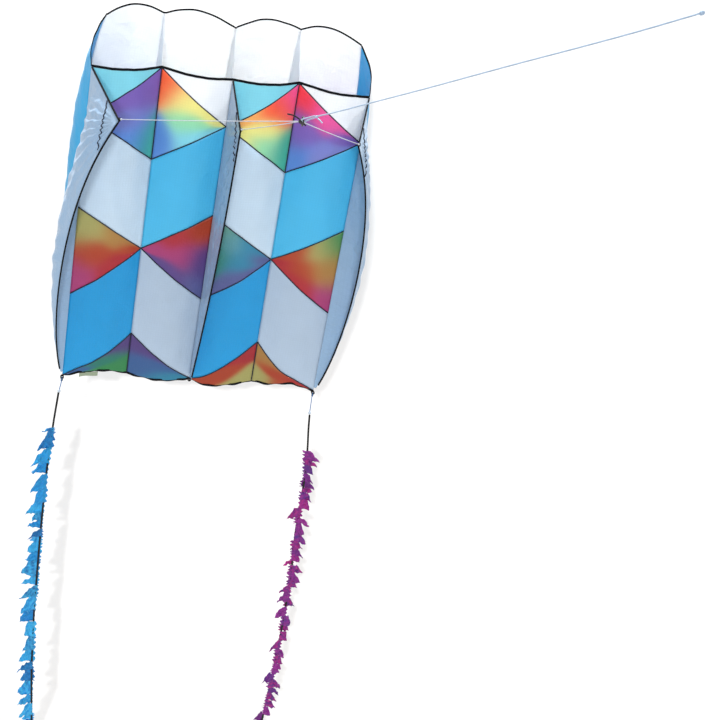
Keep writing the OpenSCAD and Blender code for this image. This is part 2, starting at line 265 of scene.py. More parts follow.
@dataclass(frozen=True)
class Braid:
    """Braided polyester line: two sets of yarn that cross, which gives fine slanted ridges."""

    name: str
    colour: str
    yarn_mm: float = 1.0
    roughness: float = 0.5

    def build(self) -> bpy.types.Material:
        """The material: slanted yarn ridges in Object coordinates, light on the ridges."""
        made, tree = blank_material(self.name)
        place = add(tree, "TexCoord")
        yarns = [add(tree, "TexWave", {
            "Vector": place.outputs["Object"], "Scale": band_scale(self.yarn_mm), "Distortion": 0.6, "Detail": 1.0,
            "Phase Offset": phase}, wave_type="BANDS", bands_direction="DIAGONAL") for phase in (0.0, 2.1)]
        both = add(tree, "Math", {0: yarns[0].outputs["Fac"], 1: yarns[1].outputs["Fac"]},
                   operation="MULTIPLY")
        bump = add(tree, "Bump", {"Height": both.outputs[0], "Strength": 0.4, "Distance": 0.0003})
        skin = add(tree, "BsdfPrincipled", {
            "Base Color": two_tone(tree, both.outputs[0], self.colour, 0.72, 1.15, 0.01), "Normal": bump.outputs[0],
            "Roughness": self.roughness, "Specular IOR Level": 0.4})
        add(tree, "OutputMaterial", {"Surface": skin.outputs[0]})
        return made


@dataclass(frozen=True)
class Moulded:
    """Injection-moulded acetal: even and low in gloss, with a very fine spark grain."""

    name: str
    colour: str
    roughness: float = 0.32

    def build(self) -> bpy.types.Material:
        """The material: one colour that varies a little, with a fine grain in the gloss."""
        made, tree = blank_material(self.name)
        place = add(tree, "TexCoord")
        grain = add(tree, "TexNoise", {"Vector": place.outputs["Object"], "Scale": 1400.0, "Detail": 3.0})
        cloud = add(tree, "TexNoise", {"Vector": place.outputs["Object"], "Scale": 260.0, "Detail": 2.0})
        gloss = add(tree, "MapRange", {"Value": grain.outputs["Fac"], "To Min": self.roughness - 0.06,
                                                 "To Max": self.roughness + 0.12})
        bump = add(tree, "Bump", {"Height": grain.outputs["Fac"], "Strength": 0.12, "Distance": 0.0002})
        skin = add(tree, "BsdfPrincipled", {
            "Base Color": two_tone(tree, cloud.outputs["Fac"], self.colour, 0.88, 1.06, 0.003),
            "Normal": bump.outputs[0], "Roughness": gloss.outputs[0]})
        add(tree, "OutputMaterial", {"Surface": skin.outputs[0]})
        return made


class Shop:
    """Every finish of the kite, built once and handed out by name."""

    def __init__(self) -> None:
        """Builds each material."""
        finishes = [
            Ripstop("pieced_ripstop", light_through=0.28),
            Ripstop("top_ripstop", light_through=0.37, crinkle=0.8),
            Ripstop("white_ripstop", "#F4F8FC", light_through=0.45, crinkle=0.2),
            Ripstop("blue_ripstop", "#36B4E6", light_through=0.3),
            Ripstop("silver_white_ripstop", "#98B8D6", light_through=0.2, roughness=0.3, crinkle=0.6,
                    crinkle_mm=16.0),
            Ripstop("seam_thread", "#10142A", light_through=0.0, grid_show=0.0, crinkle=0.0, roughness=0.8),
            *[Ripstop(f"{dye}_fringe", light_through=0.35, crinkle=0.9, crinkle_mm=9.0)
              for dye in ("blue", "purple")],
            Webbing("black_binding", "#0B0D12"),
            Webbing("woven_tag", "#97A38C"),
            Braid("white_cord", "#BCC3CE"),
            Braid("pale_cord", "#4F7FB8"),
            Braid("black_cord", "#07080C", roughness=0.8),
            Braid("flying_cord", "#A8BED6"),
            Moulded("black_plastic", "#101116"),
            Moulded("white_bead", "#B4C0CC"),
        ]
        self.materials = {f.name: f.build() for f in finishes}

    def __getitem__(self, name: str) -> bpy.types.Material:
        """The material of that name."""
        return self.materials[name]


# ------------------------------------------------------------------ meshes
@dataclass
class Cloth:
    """Grids of points gathered into one mesh, with a UV map in metres and a dye colour per point."""

    points: list[Array] = field(default_factory=list)
    places: list[Array] = field(default_factory=list)
    dyes: list[Array] = field(default_factory=list)
    faces: list[list[int]] = field(default_factory=list)
    count: int = 0

    def add(self, points: Array, places: Array, dye: Array | None = None, flip: bool = False,
            wrap: bool = False, caps: bool = False) -> None:
        """Adds one grid; an edge that shrinks to a point becomes a pole of triangles.

        Args:
            points: Canopy millimetres, n by m by 3.
            places: UV in metres, n by m by 2.
            dye: Linear colour, n by m by 3, or None for white.
            flip: Turns the faces over.
            wrap: Joins the last column to the first, as on a tube.
            caps: Closes the first and the last row, as on a tube's ends.
        """
        n, m = points.shape[:2]
        flat = points.reshape(-1, 3)
        _, first, back = np.unique(np.round(flat, 5), axis=0, return_index=True, return_inverse=True)
        same = first[back.reshape(-1)].reshape(n, m)
        index = np.concatenate([same, same[:, :1]], axis=1) if wrap else same
        quads = np.stack([index[:-1, :-1], index[1:, :-1], index[1:, 1:], index[:-1, 1:]], axis=-1).reshape(-1, 4)
        if flip:
            quads = quads[:, ::-1]
        repeated = np.array([len(set(q)) for q in quads.tolist()])
        made = (quads[repeated == 4] + self.count).tolist()
        for q in quads[repeated == 3].tolist():
            made.append([i + self.count for k, i in enumerate(q) if i != q[k - 1]])
        if caps:
            ends = [index[0, :m][::-1], index[-1, :m]] if flip else [index[0, :m], index[-1, :m][::-1]]
            made += [[int(i) + self.count for i in end] for end in ends]
        self.faces += made
        self.points.append(flat)
        self.places.append(places.reshape(-1, 2))
        self.dyes.append(np.ones_like(flat) if dye is None else dye.reshape(-1, 3))
        self.count += len(flat)

    def build(self, name: str, material: bpy.types.Material, thick: float = 0.0,
              row: bool = False) -> bpy.types.Object:
        """The gathered mesh as an object at the origin.

        Args:
            name: The piece's name.
            material: Its finish.
            thick: Cloth thickness in millimetres, or 0 for a mesh that is closed already.
            row: True if the points are in the frame's metres already.

        Returns:
            The object, smooth shaded and thickened.
        """
        points = np.concatenate(self.points)
        used = np.zeros(len(points), bool)
        used[[i for f in self.faces for i in f]] = True
        renumber = np.cumsum(used) - 1
        faces = [[int(renumber[i]) for i in f] for f in self.faces]
        points = points[used] if row else to_row(points[used])
        mesh = bpy.data.meshes.new(name)
        mesh.from_pydata(points.tolist(), [], faces)
        corner = np.zeros(len(mesh.loops), np.int32)
        mesh.loops.foreach_get("vertex_index", corner)
        uv = mesh.uv_layers.new(name="cloth")
        uv.data.foreach_set("uv", np.concatenate(self.places)[used][corner].astype(np.float32).ravel())
        dye = np.concatenate([np.concatenate(self.dyes)[used], np.ones((int(used.sum()), 1))], axis=1)
        tint = mesh.color_attributes.new("dye", "FLOAT_COLOR", "POINT")
        tint.data.foreach_set("color", dye.astype(np.float32).ravel())
        mesh.polygons.foreach_set("use_smooth", np.ones(len(mesh.polygons), bool))
        mesh.materials.append(material)
        mesh.update()
        made = bpy.data.objects.new(name, mesh)
        bpy.context.scene.collection.objects.link(made)
        if thick:
            wall = made.modifiers.new("cloth", "SOLIDIFY")
            wall.thickness, wall.offset = thick * MM, 0.0
        return made


def carry(cloth: Cloth, path: Array, side: Array, out: Array, width: float, thick: float,
          ring: int = 10, square: float = 0.55) -> None:
    """Carries a rounded flat profile along a path as a closed strip or cord.

    The profile is a superellipse: its corners grow squarer as `square` falls below 1.

    Args:
        cloth: Where the strip goes.
        path: Points along the strip's middle, millimetres.
        side: Direction of its width at each point.
        out: Direction of its thickness at each point.
        width: Full width, one number or one a point.
        thick: Full thickness, one number or one a point.
        ring: Points round the profile.
        square: Power of the superellipse.
    """
    angle = np.arange(ring) / ring * math.tau
    across = np.sign(np.cos(angle)) * np.abs(np.cos(angle)) ** square
    depth = np.sign(np.sin(angle)) * np.abs(np.sin(angle)) ** square
    wide, deep = (np.broadcast_to(np.asarray(size, float), (len(path),))[:, None, None] / 2
                  for size in (width, thick))
    points = (path[:, None, :] + side[:, None, :] * across[None, :, None] * wide
              + out[:, None, :] * depth[None, :, None] * deep)
    along = np.concatenate([[0], np.cumsum(np.linalg.norm(np.diff(path, axis=0), axis=1))])
    places = flat_at(along[:, None], across[None, :] * wide[:, :, 0])
    hand = np.einsum("ij,ij->i", np.cross(side, out), np.gradient(path, axis=0)).sum()
    cloth.add(points, places, flip=bool(hand > 0), wrap=True, caps=True)


def across_of(path: Array, hint: Array | tuple) -> tuple[Array, Array]:
    """Two directions square to a path: the one nearest the hint, and the one square to both."""
    hint = np.broadcast_to(hint, path.shape)
    ahead = unit(np.gradient(path, axis=0))
    side = unit(hint - ahead * (ahead * hint).sum(1, keepdims=True))
    return side, unit(np.cross(ahead, side))


def put(piece: bpy.types.Object, body: str, slot: str, *nodes: str) -> bpy.types.Object:
    """Rides a piece on its body and stands it for its CAD nodes.

    Args:
        piece: The finished object.
        body: The CAD body that it moves with.
        slot: The record's material slot; not used.
        *nodes: The CAD nodes that it replaces.

    Returns:
        The piece.
    """
    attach(piece, body)
    if nodes:
        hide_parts(*nodes)
    LOG.info("%s on %s", piece.name, body)
    return piece


# ------------------------------------------------------------------ the panels' pattern
class Ink(Enum):
    """The dyed cloths and the print's inks, which run round the rainbow; two of the whites are white cloth with painted
    shade.
    """

    WHITE = "#FBFDFF"
    # The next two are white cloth painted bluish grey as painted shade: lightly in row C, more deeply in row E towards
    # the tail.
    PALE = "#DAEDFA"
    SHADE = "#BBCEE1"
    SKY = "#92E2F0"
    AZURE = "#52CAF4"
    OCEAN = "#1CA4E2"
    VIOLET = "#8A6DC5"
    LILAC = "#8A92DA"
    BLUE = "#6399E4"
    TEAL = "#4BC2A9"
    GREEN = "#5CD284"
    MINT = "#A6EABF"
    YELLOW = "#F9F39B"
    AMBER = "#FCC26E"
    ORANGE = "#FF6A3E"
    RED = "#FA4654"
    MAGENTA = "#F463B1"


@dataclass(frozen=True)
class Stop:
    """Where an ink is strongest: a from the fin (0) to the rib between (1), t from the panel's rear edge up."""

    a: float
    t: float
    ink: Ink


def plain(*inks: Ink) -> list[list[Stop]]:
    """A row of panels cut from plain cloth, one ink a cell."""
    return [[Stop(0.5, 0.5, ink)] for ink in inks]


SPREAD = 0.2
# How much of the light a row's print gives back, and how heavy its ink is: both deepen towards the tail, and the
# smaller share of light is painted shade on rows D and F.
ROW_PAINTED_SHADE_AND_INK = {"B": (1.0, 1.0), "D": (0.52, 1.1), "F": (0.43, 1.1)}

# The six panels of each cell, A to F from the leading edge back, cells 1 to 4.
DYES: dict[str, list[list[Stop]]] = {
    "A": plain(Ink.SKY, Ink.WHITE, Ink.SKY, Ink.WHITE),
    "B": [
        [Stop(0.2, 0.6, Ink.VIOLET), Stop(0.6, 0.85, Ink.VIOLET), Stop(0.55, 0.4, Ink.LILAC),
         Stop(0.7, 0.12, Ink.BLUE), Stop(0.95, 0.08, Ink.TEAL)],
        [Stop(0.9, 1.0, Ink.ORANGE), Stop(0.6, 0.85, Ink.YELLOW), Stop(0.15, 0.75, Ink.YELLOW),
         Stop(0.5, 0.45, Ink.MINT), Stop(0.5, 0.12, Ink.SKY), Stop(0.97, 0.08, Ink.BLUE)],
        [Stop(0.95, 1.0, Ink.MAGENTA), Stop(0.7, 0.85, Ink.ORANGE), Stop(0.25, 0.85, Ink.AMBER),
         Stop(0.5, 0.5, Ink.YELLOW), Stop(0.25, 0.2, Ink.YELLOW), Stop(0.6, 0.14, Ink.MINT), Stop(0.95, 0.1, Ink.TEAL)],
        [Stop(0.95, 0.95, Ink.RED), Stop(0.55, 0.88, Ink.MAGENTA), Stop(0.2, 0.55, Ink.VIOLET),
         Stop(0.9, 0.5, Ink.VIOLET), Stop(0.5, 0.1, Ink.LILAC), Stop(0.95, 0.1, Ink.BLUE)],
    ],
    # Row C's white cells carry light painted shade.
    "C": plain(Ink.PALE, Ink.AZURE, Ink.PALE, Ink.AZURE),
    "D": [
        [Stop(0.2, 0.88, Ink.YELLOW), Stop(0.6, 0.85, Ink.AMBER), Stop(0.9, 0.6, Ink.ORANGE),
         Stop(0.3, 0.45, Ink.ORANGE), Stop(0.1, 0.1, Ink.MAGENTA), Stop(0.55, 0.12, Ink.RED)],
        [Stop(0.15, 0.9, Ink.ORANGE), Stop(0.5, 0.85, Ink.RED), Stop(0.85, 0.65, Ink.MAGENTA),
         Stop(0.4, 0.5, Ink.MAGENTA), Stop(0.1, 0.4, Ink.VIOLET), Stop(0.5, 0.08, Ink.VIOLET),
         Stop(0.1, 0.08, Ink.LILAC)],
        [Stop(0.1, 0.98, Ink.MINT), Stop(0.3, 0.8, Ink.SKY), Stop(0.65, 0.8, Ink.AZURE), Stop(0.12, 0.55, Ink.TEAL),
         Stop(0.5, 0.5, Ink.AZURE), Stop(0.85, 0.6, Ink.LILAC), Stop(0.4, 0.08, Ink.LILAC)],
        [Stop(0.1, 0.95, Ink.GREEN), Stop(0.3, 0.85, Ink.YELLOW), Stop(0.65, 0.85, Ink.ORANGE), Stop(0.9, 0.5, Ink.RED),
         Stop(0.2, 0.5, Ink.AMBER), Stop(0.5, 0.45, Ink.ORANGE), Stop(0.1, 0.08, Ink.MAGENTA), Stop(0.5, 0.1, Ink.RED)],
    ],
    # Row E's white cells carry deeper painted shade.
    "E": plain(Ink.OCEAN, Ink.SHADE, Ink.OCEAN, Ink.SHADE),
    "F": [
        [Stop(0.95, 0.9, Ink.VIOLET), Stop(0.6, 0.6, Ink.TEAL), Stop(0.2, 0.5, Ink.BLUE), Stop(0.8, 0.15, Ink.GREEN)],
        [Stop(0.9, 0.9, Ink.VIOLET), Stop(0.6, 0.5, Ink.BLUE), Stop(0.3, 0.3, Ink.AZURE)],
        [Stop(0.95, 0.9, Ink.RED), Stop(0.5, 0.5, Ink.ORANGE), Stop(0.95, 0.1, Ink.YELLOW)],
        [Stop(0.95, 0.9, Ink.AMBER), Stop(0.6, 0.6, Ink.ORANGE), Stop(0.25, 0.5, Ink.RED), Stop(0.95, 0.1, Ink.YELLOW),
         Stop(0.5, 0.1, Ink.ORANGE)],
    ],
}


def printed(row: str, c: int, a: Array, t: Array) -> Array:
    """The dye over a panel: each stop weighs exp(-distance squared / spread squared), in linear colour, and rows D and
    F are darkened by painted shade.
    """
    # The row's share is painted shade: it darkens rows D and F towards the tail.
    share, heavy = ROW_PAINTED_SHADE_AND_INK.get(row, (1.0, 1.0))
    stops = DYES[row][c]
    inks = share * np.array([linear(s.ink.value)[:3] for s in stops]) ** heavy
    far = np.stack([(a - s.a) ** 2 + (t - s.t) ** 2 for s in stops], axis=-1)
    weight = np.exp(-(far - far.min(axis=-1, keepdims=True)) / SPREAD**2)
    return (weight @ inks) / weight.sum(axis=-1, keepdims=True)


# ------------------------------------------------------------------ the canopy
@dataclass(frozen=True)
class Seam:
    """A seam across the cells: its height at the fin and at the rib between, in pitches, and its bows.

    Attributes:
        fin: Height at the fin, in pitches.
        rib: Height at the rib between two fins, in pitches.
        bow: How far its middle rises in each cell, millimetres.
        lift: How far the rib end stands above its pitch, millimetres.
    """

    fin: float
    rib: float
    bow: tuple[float, float, float, float] = (0.0, 0.0, 0.0, 0.0)
    lift: float = 0.0

    def height(self, a: Array, c: int, pitch: float) -> Array:
        """Millimetres up the chord of cell c at a, from 0 at the fin to 1 at the rib between."""
        return mix(self.fin * pitch, self.rib * pitch + self.lift, a) + self.bow[c] * np.sin(math.pi * a)


SEAMS = {
    "nose": Seam(3.5, 3.5),
    "c1": Seam(3.0, 3.5),
    "c2": Seam(3.0, 2.5, (5.0, 5.0, 5.0, 5.0), 4.0),
    "c3": Seam(2.0, 1.5, (4.0, 4.0, 3.0, 3.0), 3.0),
    "c4": Seam(1.0, 1.5, (-1.0, -1.0, -3.0, -2.0), 3.0),
    "c5": Seam(0.0, 0.5, (-14.0, -5.0, -9.0, -19.0)),
    "tail": Seam(0.0, 0.0),
}
PANELS = {"A": ("c1", "nose"), "B": ("c2", "c1"), "C": ("c3", "c2"), "D": ("c4", "c3"), "E": ("c5", "c4"),
          "F": ("tail", "c5")}


@dataclass
class Canopy:
    """The inflated body: four cells between two skins, five ribs, three fins and their bindings."""

    shop: Shop
    half: float = 255.0
    lower_chord: float = 640.0
    overhang: float = 79.0
    mouth_depth: float = 50.0
    mouth_crown: float = 16.0
    fullness: float = 227.0
    rib_bow: float = 28.0
    arch_tail: float = 22.0
    arch_nose: float = 12.0
    lower_belly: float = 19.0
    belly_share: float = 0.35
    upper_belly: float = 25.0
    nose_rise: float = 10.0
    wall_bulge: float = 24.0
    wall_taper: float = 0.91
    mouth_lean: float = 20.0
    lean_span: float = 0.25
    fin_depth: float = 171.0
    fin_setback: float = 32.0
    fin_lean: float = 46.0
    fin_flare: float = 25.0
    fin_belly: float = 26.0
    fin_sway: float = 5.0
    tape: float = 4.6
    cloth: float = 0.3
    nose_share: float = 0.76
    fold_high: float = 0.9
    edge_pucker: float = 0.4
    gather_high: float = 4.5
    gather_share: float = 0.16
    crease_high: float = 7.0
    crease_rate: float = 19.0
    crease_reach: float = 170.0
    fin_ripple: float = 1.2
    seam_width: float = 2.3
    rib_seam_width: float = 2.2
    tag_span: tuple = (-222.0, -186.0)
    tag_rows: tuple = (3.0, 12.2)
    tail_wave: tuple = ((-255, 0), (-215, 9), (-170, 12), (-127, 1), (-90, -5), (-45, -7), (-12, -3), (0, -2),
                        (20, -10), (45, -13), (75, -8), (100, -5), (127, 1), (165, 3), (200, 12), (228, 8),
                        (255, 0))

    def __post_init__(self) -> None:
        """Works out the cell width, the upper chord and the seams' pitch."""
        self.cell = self.half / 2
        self.upper_chord = self.lower_chord + self.overhang
        self.pitch = self.lower_chord / 3.5

    # -------------------------------------------------------------- surfaces
    def arch(self, x: Array, z: Array) -> Array:
        """Spanwise arch: a parabola across the span, deeper at the trailing edge."""
        return mix(self.arch_tail, self.arch_nose, z / self.lower_chord) * (1 - (x / self.half) ** 2)

    def rib_y(self, k: float, z: Array) -> Array:
        """How far back rib k lies; k runs from -2 to 2, and the odd ribs carry no fin."""
        bow = 0.0 if k % 2 == 0 else self.rib_bow
        return self.arch(k * self.cell, z) + bow * (0.25 + 0.75 * z / self.lower_chord)

    def depth(self, k: int, s: Array) -> Array:
        """Depth of the section, from the mouth (s = 0) to nothing at the trailing edge."""
        crown = 0.0 if k % 2 == 0 else self.mouth_crown
        return (1 - s) * (self.mouth_depth + crown + self.fullness * s**0.75)

    def upper_y(self, k: int, s: Array) -> Array:
        """Where the upper skin meets rib k."""
        return self.rib_y(k, self.lower_chord * (1 - s)) + self.depth(k, s) + 1.6

    def lean(self, s: Array) -> Array:
        """Inward lean of a side wall's top edge, which dies out behind the mouth."""
        return np.where(s < self.lean_span, self.mouth_lean * (1 - s / self.lean_span) ** 2, 0.0)

    def flutter(self, x: Array, z: Array) -> Array:
        """How far the slack trailing edge has ridden up or down the chord; it dies out forwards."""
        wave = smooth_path(np.array([(px, pz, 0.0) for px, pz in self.tail_wave]), 6)
        return np.interp(x, wave[:, 0], wave[:, 1]) * np.exp(-np.maximum(z, 0.0) / 35.0)

    def lower(self, c: int, u: Array, z: Array) -> Array:
        """Lower skin of cell c: a belly between its ribs, with shallow folds and puckers near the seams."""
        k = c - 2
        belly = self.lower_belly * mix(self.belly_share, 1.0, z / self.lower_chord) * np.sin(math.pi * u)
        x = mix(k * self.cell, (k + 1) * self.cell, u)
        slack = np.sin(math.pi * u) ** 0.5
        folds = self.fold_high * slack * ripples(x, 0.45 * z, 11 + c, 42.0)
        edge = np.exp(-(self.lower_chord - z) / 16.0) * self.edge_pucker * np.sin(x / 3.1 + c) * slack
        return xyz(x, mix(self.rib_y(k, z), self.rib_y(k + 1, z), u) - belly + folds + edge, z + self.flutter(x, z))

    def upper(self, c: int, u: Array, z: Array) -> Array:
        """Upper skin of cell c, with z up its own longer chord."""
        k, s = c - 2, np.clip(1 - z / self.upper_chord, 0, 1)
        belly = (self.upper_belly * np.sqrt(1 - s) - self.lower_belly * self.belly_share * s**6) * np.sin(math.pi * u)
        x0 = k * self.cell + (self.lean(s) if c == 0 else 0.0)
        x1 = (k + 1) * self.cell - (self.lean(s) if c == 3 else 0.0)
        x = mix(x0, x1, u)
        slack = np.sin(math.pi * u) ** 0.5
        gather = (self.gather_high * np.exp(-s / self.gather_share) * np.sin(z / 6.3 + 2.0 * np.sin(x / 17.0))
                  * (1 - slack) * np.sign(u) * (u < 1))
        folds = 1.1 * slack * ripples(x, 0.5 * z, 31 + c, 48.0) + gather
        y = mix(self.upper_y(k, s), self.upper_y(k + 1, s), u) + belly + folds + 0.6
        return xyz(x, y, z + self.nose_rise * (1 - s) ** 8 * np.sin(math.pi * u) + self.flutter(x, z))

    def rib(self, k: int, u: Array, w: Array, bulge: float = 0.0) -> Array:
        """Rib k, from the lower skin (u = 0) to the upper skin (u = 1) and from tail to mouth with w."""
        s, side = 1 - w, float(np.sign(k))
        lean = self.lean(s) if abs(k) == 2 else 0.0
        swell = bulge * np.sin(math.pi * u) * np.sin(math.pi * w * self.wall_taper) ** 0.7
        wrinkle = 0.8 * np.sin(math.pi * u) * ripples(w * 640, u * 120, 51 + k, 38.0)
        x = k * self.cell - side * lean * u + side * swell + wrinkle
        y = mix(self.rib_y(k, self.lower_chord * w) + 0.8, self.upper_y(k, s) - 0.2, u)
        return xyz(x, y, mix(self.lower_chord * w, self.upper_chord * w, u))

    def fin(self, side: Side, a: Array, t: Array, crease: float = 1.0) -> Array:
        """Fin surface: a from tail to tip, t from the lower skin to its bound edge.

        Creases fan out from the tip, where the bridle pulls, and fade towards the root.

        Args:
            side: Which fin.
            a: Along the fin.
            t: Away from the lower skin.
            crease: Share of the creases to keep.

        Returns:
            Points of the fin.
        """
        sign = side.value
        hill = np.sin(math.pi * np.clip(a, 0, 1))
        if side is Side.CENTRE:
            off = self.fin_sway * t * hill
        else:
            flare = self.fin_flare * np.sin(math.pi * np.clip(a, 0, 1) ** 0.7)
            off = sign * (t * (flare - self.fin_lean * a**5) + self.fin_belly * np.sin(math.pi * t) * hill)
        lift = self.arch_nose * a if side is Side.CENTRE else 0.0
        y = mix(self.rib_y(2 * sign, self.lower_chord * a) - 0.3, -self.fin_depth * a + lift, t)
        z = mix(self.lower_chord, self.lower_chord - self.fin_setback, t) * a
        dy, dz = y + self.fin_depth, z - (self.lower_chord - self.fin_setback)
        angle, reach = np.arctan2(dy, -dz), np.hypot(dy, dz)
        fan = np.abs(np.sin(angle * self.crease_rate + 0.4 * ripples(angle * 60, reach, 71 + sign, 60.0)))
        fade = (np.clip(reach / 25, 0, 1) * np.exp(-((reach / self.crease_reach) ** 2))
                * np.sin(math.pi * np.clip(t, 0, 1)) ** 0.4 * np.clip((1 - a) / 0.08, 0, 1))
        soft = self.fin_ripple * ripples(y, z, 81 + sign, 34.0) * np.sin(math.pi * t) ** 0.5
        relief = crease * (self.crease_high * (fan - 0.6) * fade + soft * hill**0.5)
        return xyz(2 * sign * self.cell + off + relief, y, z)

    # -------------------------------------------------------------- pieces
    def panel(self, surface: Callable[[int, Array, Array], Array], c: int, row: str, stretch: float,
              cloth: Cloth, outward: bool) -> None:
        """Adds one printed panel between its two seams.

        Args:
            surface: Skin surface that takes the cell, u and the height.
            c: The cell, 0 to 3.
            row: The panel's letter.
            stretch: How much longer this skin's chord is than the seams' own heights.
            cloth: Where the panel goes.
            outward: True on the upper skin, whose outer face looks the other way.
        """
        low, high = PANELS[row]
        a, t = grid(30, 26)
        z = mix(SEAMS[low].height(a, c, self.pitch), SEAMS[high].height(a, c, self.pitch), t) * stretch
        u = a if c % 2 == 0 else 1 - a
        mirrored = c % 2 == 1
        # The print's colour, with painted shade in rows C to F that deepens towards the tail.
        dye = printed(row, c, a, t)
        cloth.add(surface(c, u, z), flat_at(u * self.cell, z), dye, flip=mirrored == outward)

    def seam_lines(self, surface: Callable[[int, Array, Array], Array], c: int, stretch: float, away: float,
                   cloth: Cloth) -> None:
        """Adds the felled seams of one cell: a narrow raised strip along each, on the skin's outer face."""
        a = np.linspace(0.0, 1.0, 42)
        for seam in ("c1", "c2", "c3", "c4", "c5"):
            z = np.clip(SEAMS[seam].height(a, c, self.pitch), 1.0, self.lower_chord - 1) * stretch
            u = a if c % 2 == 0 else 1 - a
            path = surface(c, u, z) + (0.0, away * 0.45, 0.0)
            side, out = across_of(path, (0.0, 1.0, 0.0))
            carry(cloth, path, out, side, self.seam_width, 0.8, ring=8)

    def nose_band(self, c: int, cloth: Cloth) -> None:
        """Adds the plain band of the upper skin that stands ahead of the print, down into the mouth."""
        u, v = grid(30, 30)
        z = mix(self.nose_share * self.upper_chord, self.upper_chord, v)
        dye = np.broadcast_to(np.array(linear(Ink.WHITE.value)[:3]), (*z.shape, 3))
        cloth.add(self.upper(c, u, z), flat_at(u * self.cell, z), dye, flip=True)

    def skins(self) -> None:
        """Builds the lower and the upper skin of each cell with its seams."""
        stretch = self.nose_share * self.upper_chord / self.lower_chord
        kinds = (("lower", self.lower, 1.0, self.lower_chord, "pieced_ripstop"),
                 ("upper", self.upper, stretch, self.upper_chord, "top_ripstop"))
        for c in range(4):
            for word, surface, longer, chord, slot in kinds:
                on_top = word == "upper"
                sheet, lines = Cloth(), Cloth()
                for row in PANELS:
                    self.panel(surface, c, row, longer, sheet, outward=on_top)
                if on_top:
                    self.nose_band(c, sheet)
                skin = put(sheet.build(f"{word}_skin_cell_{c + 1}", self.shop[slot], self.cloth), "canopy", slot,
                           f"{word}_skin_{c + 1}")
                self.seam_lines(surface, c, longer, 1.0 if on_top else -1.0, lines)
                felled = put(lines.build(f"{word}_seams_cell_{c + 1}", self.shop["seam_thread"]), "canopy",
                             "black_binding")

    def rib_lines(self) -> None:
        """The bound seams on the ribs between the fins, where printed cloth meets printed cloth."""
        for name, surface, top, away in (("lower", self.lower, self.lower_chord, -1.0),
                                         ("upper", self.upper, self.upper_chord * self.nose_share, 1.0)):
            cloth = Cloth()
            for k, (low, high) in ((k, span) for k in (-1, 1) for span in ((0.01, 0.5), (2.52, 3.49))):
                z = np.linspace(low, high, 30) * top / 3.5
                path = surface(k + 2, np.zeros_like(z), z) + (0.0, away * 0.5, 0.0)
                side, out = across_of(path, (1.0, 0.0, 0.0))
                carry(cloth, path, side, out, self.rib_seam_width, 1.0, ring=8)
            put(cloth.build(f"{name}_rib_seams", self.shop["seam_thread"]), "canopy", "black_binding")

    def strip(self, name: str, path: Array, side: Array, out: Array, width: float, thick: float,
              finish: str = "black_binding", nodes: tuple[str, ...] = (), **profile: float) -> None:
        """Carries one tape or seam along a path and puts it on the canopy."""
        cloth = Cloth()
        carry(cloth, path, side, out, width, thick, **profile)
        put(cloth.build(name, self.shop[finish]), "canopy", "black_binding", *nodes)

    def walls(self) -> None:
        """Builds the two side walls and the three inner ribs."""
        names = {-2: "side_wall_left", -1: "inner_rib_left", 0: "inner_rib_centre", 1: "inner_rib_right",
                 2: "side_wall_right"}
        for k, node in names.items():
            outer = abs(k) == 2
            u, v = grid(18, 90)
            w = mix(0.012, 1.0, v)
            sheet = Cloth()
            points = self.rib(k, u, w, self.wall_bulge if outer else 0.0)
            sheet.add(points, np.stack([u * 0.12, w * self.lower_chord * MM], axis=-1), flip=k > 0)
            slot = "blue_ripstop" if outer else "white_ripstop"
            wall = put(sheet.build(node.replace("rib", "rib_cloth").replace("wall", "wall_cloth"), self.shop[slot],
                                   self.cloth), "canopy", slot, node)

    def fins(self) -> None:
        """Builds the three fins, their tip patches and their edge bindings."""
        for side in Side:
            u, v = grid(64, 170)
            a = mix(0.012, 1.0, v)
            sheet = Cloth()
            points = self.fin(side, a, u)
            places = flat_at(points[..., 1], points[..., 2])
            sheet.add(points, places, flip=side is not Side.LEFT)
            fin = put(sheet.build(f"fin_cloth_{side.word}", self.shop["silver_white_ripstop"], self.cloth), "canopy",
                      "silver_white_ripstop", f"fin_{side.word}")
            self.fin_patch(side)
            self.fin_binding(side)

    def fin_patch(self, side: Side) -> None:
        """The doubled cloth at a fin's tip, with a zigzag inner edge."""
        u, v = grid(24, 36)
        teeth = 0.014 * np.abs(((v * 2.5) % 1.0) * 2 - 1)
        a, inner = mix(0.89, 0.997, v), mix(0.95, 0.62, v) + teeth
        away = -1.0 if side.value <= 0 else 1.0
        points = self.fin(side, a, mix(inner, 0.985, u)) + (away * 0.55, 0.0, 0.0)
        sheet = Cloth()
        sheet.add(points, flat_at(points[..., 1], points[..., 2]), flip=side is not Side.LEFT)
        put(sheet.build(f"fin_patch_cloth_{side.word}", self.shop["silver_white_ripstop"], self.cloth), "canopy",
            "silver_white_ripstop", f"fin_patch_{side.word}")
        path = self.fin(side, a[0], inner[0]) + (away * 1.3, 0.0, 0.0)
        flat, out = across_of(path, (1.0, 0.0, 0.0))
        self.strip(f"fin_patch_seam_{side.word}", path, out, flat, 2.6, 2.2, finish="seam_thread", ring=8)

    def fin_binding(self, side: Side) -> None:
        """The tape folded over a fin's front edge, round its tip and down its long edge."""
        t, a = np.linspace(0.03, 1.0, 30), np.linspace(1.0, 0.03, 90)[1:]
        front = self.fin(side, np.ones_like(t), t)
        rear = self.fin(side, a, np.ones_like(a))
        path = np.concatenate([front, rear])
        ahead = unit(np.gradient(path, axis=0))
        for _ in range(3):
            ahead[1:-1] = unit(ahead[:-2] + ahead[1:-1] + ahead[2:])
        out = unit(np.cross(ahead, np.broadcast_to((1.0, 0.0, 0.0), ahead.shape)))
        middle = path.mean(axis=0)
        out *= np.sign(((path - middle) * out).sum(axis=1).mean())
        flat = unit(np.cross(out, ahead))
        self.strip(f"fin_binding_{side.word}", path + out * 0.9, out, flat, self.tape, 3.0,
                   nodes=(f"fin_tape_{side.word}",), square=0.8)

